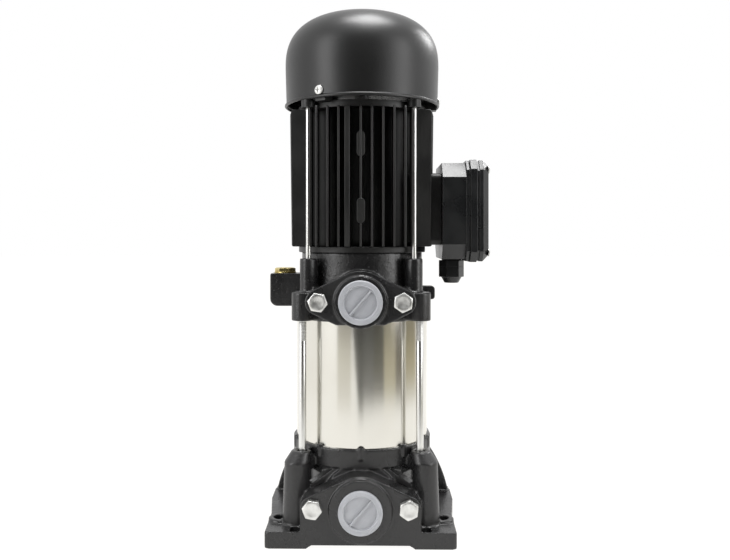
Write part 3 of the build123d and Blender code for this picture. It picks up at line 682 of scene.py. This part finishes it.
def slotted(bm):
    """Open the air slots: the faces on the crown that lie in them are deleted."""
    doomed = []
    for face in bm.faces:
        centre = face.calc_center_median() / MM
        in_slot = degrees_round(centre) / 360 * SLOTS % 1 < SLOT_SHARE
        in_ring = SLOT_INNER < (centre.x ** 2 + centre.y ** 2) ** 0.5 < SLOT_OUTER
        if in_slot and in_ring and centre.z > COWL_SHOULDER:
            doomed.append(face)
    bmesh.ops.delete(bm, geom=doomed, context="FACES")
    return bm


cowl = show("cowl", slotted(lathe(cowl_line(), 192)), "cowl", ["fan_cowl"])
sheet_wall = cowl.modifiers.new("sheet", "SOLIDIFY")
sheet_wall.thickness, sheet_wall.offset = COWL_WALL * MM, -1

# %% [markdown]
# ## Screws
# Three pan-head screws hold the cowl and four hold the lid of the terminal box. The cross recess is
# pressed in, as it is by the punch that makes the real one: the vertices of a fine head that lie inside
# the cross are pushed down, deepest in the middle.

# %% Cross-recessed screws
COWL_SCREW_Z, COWL_SCREW_ANGLES = 391.0, (-120.5, -0.5, 119.5)


def pan_screw(radius, height):
    """Pan head whose top is pressed in along a cross."""
    line = [(0, height)]
    for k in range(1, 19):
        a = radians(5 * k)
        line.append((radius * sin(a), height * (0.4 + 0.6 * max(cos(a), 0) ** 0.8)))
    bm = lathe(line + [(radius, height * 0.2), (radius * 0.96, 0), (0, 0)], 96)
    for vert in bm.verts:
        narrow, wide = sorted((abs(vert.co.x) / MM, abs(vert.co.y) / MM))
        if vert.co.z > height * 0.3 * MM and narrow < radius * 0.15 and wide < radius * 0.6:
            vert.co.z -= (height * 0.62 - wide * 0.5) * MM
    return bm


def screws(name, places, radius, height, node):
    heads = joined([placed(pan_screw(radius, height), place) for place in places])
    show(name, heads, "zinc", [node], crisp=30)


cowl_places = [turn(a) @ at(COWL_FOOT_R + 0.2, 0, COWL_SCREW_Z) @ TO_RIGHT for a in COWL_SCREW_ANGLES]
screws("cowl_screw_heads", cowl_places, 4.0, 2.4, "cowl_screws")

# %% [markdown]
# ## Flange bolts and filler plug
# A bolt head is turned first and milled after, as the real one is: the chamfer comes from the lathe and
# the six flats cut it into arcs. The brass plug is the same head on a collar, with a short stem.

# %% Flange bolts
PORT_FACE = -82.0
DISCHARGE_Z, DISCHARGE_BOLT_X, BOLT_FLATS = 208.0, 36.0, 15
BOLT_PLACES = {"suction_flange_bolts": (SUCTION_BOLT_X, SUCTION_BOLT_Z),
               "discharge_flange_bolts": (DISCHARGE_BOLT_X, DISCHARGE_Z)}
shank = [(0, -20), (4.2, -20), (4.2, 0.2), (0, 0.2)]
for node, (x, z) in BOLT_PLACES.items():
    bolts = []
    for side in (-1, 1):
        bolt = joined([hex_head(BOLT_FLATS, 5.5, 1.0, dish=0.35), lathe(shank, 32)])
        bolts.append(placed(bolt, at(side * x, PORT_FACE, z), TO_FRONT, turn(8 + 17 * side)))
    soften(show(node + "_fine", joined(bolts), "zinc", [node]), 0.22)

# %% Filler plug
PLUG_X, PLUG_SEAT = -72.8, 229.0
collar = rounded([(0, 0), (10.2, 0), (10.2, 1.5), (0, 1.5)], 0.4)
stem = [(0, -10), (6, -10)] + thread_line(6.45, -9.6, -0.4, pitch=1.4, depth=0.5) + [(6.0, 0), (0, 0)]
plug = [lathe(collar, 64), lathe(stem, 32), placed(hex_head(17, 4.0, 0.8), at(0, 0, 1.2))]
soften(show("plug", placed(joined(plug), at(PLUG_X, 0, PLUG_SEAT)), "brass", ["filler_plug"],
            body="filler_plug"), 0.2)

# %% [markdown]
# ## Transit caps
# Push-in caps keep dirt out of the ports. Each has a flat rim, a shallow well and one web across it.

# %% Caps
def cap(name, node, face_y, z):
    rim = rounded([(0, 0.4), (13.7, 0.4), (14.1, 2.6), (14.7, 3.0), (18.1, 3.0), (18.8, 2.3), (18.8, 0),
                   (14.9, 0), (14.9, -10.8), (14.2, -11), (14, -11), (13.6, -1.4), (0, -1.4)], 0.35)
    web = prism(rounded_box(27.9, 1.3, 0.5, steps=3), 2.2, 0.25)
    parts = joined([lathe(rim, 128), placed(web, turn(49), at(0, 0, 0.2))])
    soften(show(name, placed(parts, at(0, face_y, z), TO_FRONT), "milky", [node],
                body=node), 0.15)


cap("suction_cap_fine", "suction_cap", PORT_FACE - 4.0, SUCTION_Z)
cap("discharge_cap_fine", "discharge_cap", PORT_FACE - 3.0, DISCHARGE_Z)

# %% [markdown]
# ## Terminal box and gland
# The box is a moulded tray and lid with a gasket between. Its mould leaves bevelled edges, which the
# CAD solids get here from a bevel on their merged faces.

# %% Moulded pieces
def moulded(name, node, width, skin, steps=3):
    """A planar CAD solid with its triangles merged to whole faces and its edges eased."""
    bm = bmesh.new()
    bm.from_mesh(frame["nodes"][node].data)
    bmesh.ops.remove_doubles(bm, verts=bm.verts[:], dist=5e-6)
    bmesh.ops.dissolve_limit(bm, angle_limit=radians(0.6), verts=bm.verts[:], edges=bm.edges[:])
    soften(show(name, bm, skin, [node], crisp=30), width, steps, 20)


moulded("box_body", "terminal_box_body", 1.0, "plastic")
moulded("box_lid", "terminal_box_lid", 0.9, "plastic")
moulded("box_gasket", "terminal_box_gasket", 0.2, "rubber", 1)
moulded("gland_hex", "cable_gland_body", 0.4, "plastic", 2)
moulded("gland_cap", "cable_gland_nut", 0.4, "plastic", 2)
moulded("lower_shield", "drive_end_shield", 0.5, "diecast", 2)
moulded("upper_shield", "fan_end_shield", 0.5, "diecast", 2)

# %% Lid screws
BOX_HALF_Y, BOX_Z, LID_TOP, SCREW_INSET = 45.0, (243.0, 330.0), 113.6, 6.5
lid_places = [at(LID_TOP, s * (BOX_HALF_Y - SCREW_INSET), z) @ TO_RIGHT
              for s in (-1, 1) for z in (BOX_Z[0] + SCREW_INSET, BOX_Z[1] - SCREW_INSET)]
screws("lid_screw_heads", lid_places, 3.8, 1.6, "lid_screws")

# %% [markdown]
# ## The studio
# A pale floor, a white surround and soft lamps. The surround is white to the view and to anything that
# mirrors it, and lights the pump at about half that level, so that black paint stays black.

# %% World and floor
WORLD_LIGHT = 0.55
FLOOR_HALF, FLOOR_Z, FLOOR_GLOW, FLOOR_SHARE = 9, -0.0002, 1.12, 0.88


def white_world():
    world = bpy.data.worlds.new("studio")
    bpy.context.scene.world = world
    world.use_nodes = True
    nodes, links = world.node_tree.nodes, world.node_tree.links
    background = nodes["Background"]
    background.inputs["Color"].default_value = (1, 1, 1, 1)
    path = nodes.new("ShaderNodeLightPath")
    seen = path.outputs["Is Camera Ray"]
    for ray in ("Is Glossy Ray", "Is Transmission Ray"):
        either = nodes.new("ShaderNodeMath")
        either.operation = "MAXIMUM"
        links.new(seen, either.inputs[0])
        links.new(path.outputs[ray], either.inputs[1])
        seen = either.outputs[0]
    level = nodes.new("ShaderNodeMapRange")
    links.new(seen, level.inputs["Value"])
    level.inputs["To Min"].default_value = WORLD_LIGHT
    level.inputs["To Max"].default_value = 1.0
    links.new(level.outputs[0], background.inputs["Strength"])


def card(name, corners, finish, seen=False):
    """A studio surface through four corners. Unless seen, it shows in mirrors only."""
    bm = bmesh.new()
    bm.faces.new([bm.verts.new(corner) for corner in corners])
    mesh = bpy.data.meshes.new(name)
    bm.to_mesh(mesh)
    bm.free()
    obj = bpy.data.objects.new(name, mesh)
    bpy.context.scene.collection.objects.link(obj)
    mesh.materials.append(finish)
    obj.visible_camera = seen


def floor_finish():
    """White to the view, to metal and to glass, with a share of real light so that shadows show."""
    f = Finish("floor", (0.9, 0.9, 0.89), 0.9, Specular_IOR_Level=0.0)
    path = f.node("ShaderNodeLightPath")
    seen = Value(f, path.outputs["Is Camera Ray"])
    for ray in ("Is Glossy Ray", "Is Transmission Ray"):
        seen = seen.math("MAXIMUM", Value(f, path.outputs[ray]))
    glow = f.node("ShaderNodeEmission", None, (1, 0.99, 0.97, 1), FLOOR_GLOW)
    mix = f.node("ShaderNodeMixShader")
    f.links.new((seen * FLOOR_SHARE).socket, mix.inputs[0])
    f.links.new(f.shader.outputs[0], mix.inputs[1])
    f.links.new(glow.outputs[0], mix.inputs[2])
    f.links.new(mix.outputs[0], next(n for n in f.nodes if n.type == "OUTPUT_MATERIAL").inputs[0])
    return f.material


white_world()
floor_corners = [(x * FLOOR_HALF, y * FLOOR_HALF, FLOOR_Z) for x, y in ((-1, -1), (1, -1), (1, 1), (-1, 1))]
card("floor", floor_corners, floor_finish(), seen=True)
print("floor half", FLOOR_HALF, "m, world light", WORLD_LIGHT)

# %% [markdown]
# The polished barrel mirrors a low band of the room, since every ray from the camera leaves it going
# down. Low glowing cards on an arc in front of the pump draw its dark bands: their colours are painted
# reflections, dark and pale. Each spans the angles from start to end, counted from straight ahead towards
# the right. It fades into a pale tone, painted as the floor's reflection, between two heights in metres,
# and one card narrows towards its foot, where it also leans in.

# %% Low cards for the barrel
CARD_ARC, CARD_TOP, CARD_PARTS = 0.60, 0.16, 4
# pale tone the cards fade into near the floor: a painted reflection of the floor in the barrel
MIRRORED_FLOOR_TONE = (0.82, 0.80, 0.74)
# each card's colour is a painted reflection band for the barrel, dark and pale alike
BARREL_CARDS = [      # start, end, colour, pale up to, full colour from, share of its width at the foot
    (-40, -17, (0.84, 0.81, 0.72), 0.02, 0.10, 1.0),
    (-17, 3, (0.15, 0.15, 0.14), -0.01, 0.012, 0.35),
    (3, 20, (0.19, 0.19, 0.18), -0.02, 0.02, 1.0),
    (20, 37, (0.17, 0.165, 0.14), -0.015, 0.03, 1.0),
    (37, 58, (0.52, 0.48, 0.35), -0.01, 0.035, 1.0),
    (58, 78, (0.20, 0.18, 0.14), -0.01, 0.035, 1.0),
    (78, 104, (0.50, 0.45, 0.31), 0.0, 0.05, 1.0),
]


def arc_point(degrees, z, reach=1.0):
    return (CARD_ARC * reach * sin(radians(degrees)), -CARD_ARC * reach * cos(radians(degrees)), z)


def card_light(name, color, pale_to, full_from):
    """A glowing card that paints a reflected band on the barrel: its colour in the middle, paler towards
    the floor and darker towards its top.
    """
    f = Finish(name, (0, 0, 0), 1.0, Specular_IOR_Level=0.0, Emission_Strength=1.0)
    height = Value(f, f.node("ShaderNodeSeparateXYZ", None, f.place).outputs["Z"])
    low = f.blend(f.band(height, pale_to, full_from), MIRRORED_FLOOR_TONE, color)
    full = f.blend(f.band(height, 0.05, 0.15), low, tuple(c * 0.4 for c in color))
    f.feed(full, f.shader.inputs["Emission Color"])
    return f.material


for k, (start, end, color, pale_to, full_from, foot) in enumerate(BARREL_CARDS):
    lit = card_light(f"card_{k}", color, pale_to, full_from)
    reach = 0.9 if foot < 1 else 1.0
    for part in range(CARD_PARTS):
        low, high = (start + (end - start) * (part + side) / CARD_PARTS for side in (0, 1))
        foot_low, foot_high = (end + (degrees - end) * foot for degrees in (low, high))
        card(f"card_{k}_{part}", [arc_point(foot_low, 0.0, reach), arc_point(foot_high, 0.0, reach),
                                  arc_point(high, CARD_TOP), arc_point(low, CARD_TOP)], lit)
print("cards for the barrel", len(BARREL_CARDS))

# %% [markdown]
# Black enamel looks black only when it has something dark to mirror, so a dark card stands behind the
# camera. The white room still shows at both sides and overhead, and draws the edges.

# %% Dark card behind the camera
DARK_HALF, DARK_Y, DARK_TOP = 1.0, -1.5, 2.0
dark = Finish("dark_card", (0.01, 0.01, 0.01), 1.0, Specular_IOR_Level=0.0)
card("dark_card", [(-DARK_HALF, DARK_Y, 0.0), (DARK_HALF, DARK_Y, 0.0), (DARK_HALF, DARK_Y, DARK_TOP),
                   (-DARK_HALF, DARK_Y, DARK_TOP)], dark.material)

# %% [markdown]
# Large soft lamps at both sides keep the shadows open. A smaller one overhead draws the bright spot on
# the dome, and the smallest, behind at the right, lights its right shoulder.

# %% Lamps
def soft_lamp(name, place, target, size, power):
    lamp = bpy.data.lights.new(name, "AREA")
    lamp.shape, lamp.size, lamp.size_y = "RECTANGLE", size[0], size[1]
    lamp.energy = power
    obj = bpy.data.objects.new(name, lamp)
    bpy.context.scene.collection.objects.link(obj)
    obj.location = place
    obj.rotation_euler = (Vector(target) - Vector(place)).to_track_quat("-Z", "Y").to_euler()
    print(name, power, "W")


soft_lamp("left_bank", (-1.2, -0.9, 0.75), (0, 0, 0.25), (0.5, 1.2), 8)
soft_lamp("right_bank", (1.3, -0.7, 0.6), (0, 0, 0.25), (0.5, 1.2), 7)
soft_lamp("rear_bank", (0.9, 0.7, 1.05), (0, 0, 0.42), (0.25, 0.35), 5)
soft_lamp("top_bank", (0.1, -0.1, 1.4), (0, 0, 0.2), (0.55, 0.55), 15)

# %% [markdown]
# ## Camera
# The view is close and level, a little above the middle of the pump, so the foot is seen from above and
# the cowl from below. The frame is shifted instead of tilted, which keeps upright edges parallel.

# %% Camera
STAND_OFF = 0.740        # camera to the pump's axis
EYE_HEIGHT = 0.264
LENS_MM = 38.515
FRAME_DROP = -0.0603     # the frame sits lower than the level line of sight
FRAME_SIDE = 0.0041      # and a little to the right of the axis
ORBIT = 0.9              # degrees from straight ahead towards the terminal box

camera_data = bpy.data.cameras.new("camera")
camera_data.sensor_width, camera_data.lens = 36.0, LENS_MM
camera_data.shift_x, camera_data.shift_y = FRAME_SIDE, FRAME_DROP
camera_data.clip_start, camera_data.clip_end = 0.01, 50
camera = bpy.data.objects.new("camera", camera_data)
bpy.context.scene.collection.objects.link(camera)
camera.location = (STAND_OFF * sin(radians(ORBIT)), -STAND_OFF * cos(radians(ORBIT)), EYE_HEIGHT)
camera.rotation_euler = (radians(90), 0, radians(ORBIT))
bpy.context.scene.camera = camera
bpy.context.scene.view_settings.view_transform = "Standard"
print("camera at", [round(c, 4) for c in camera.location])
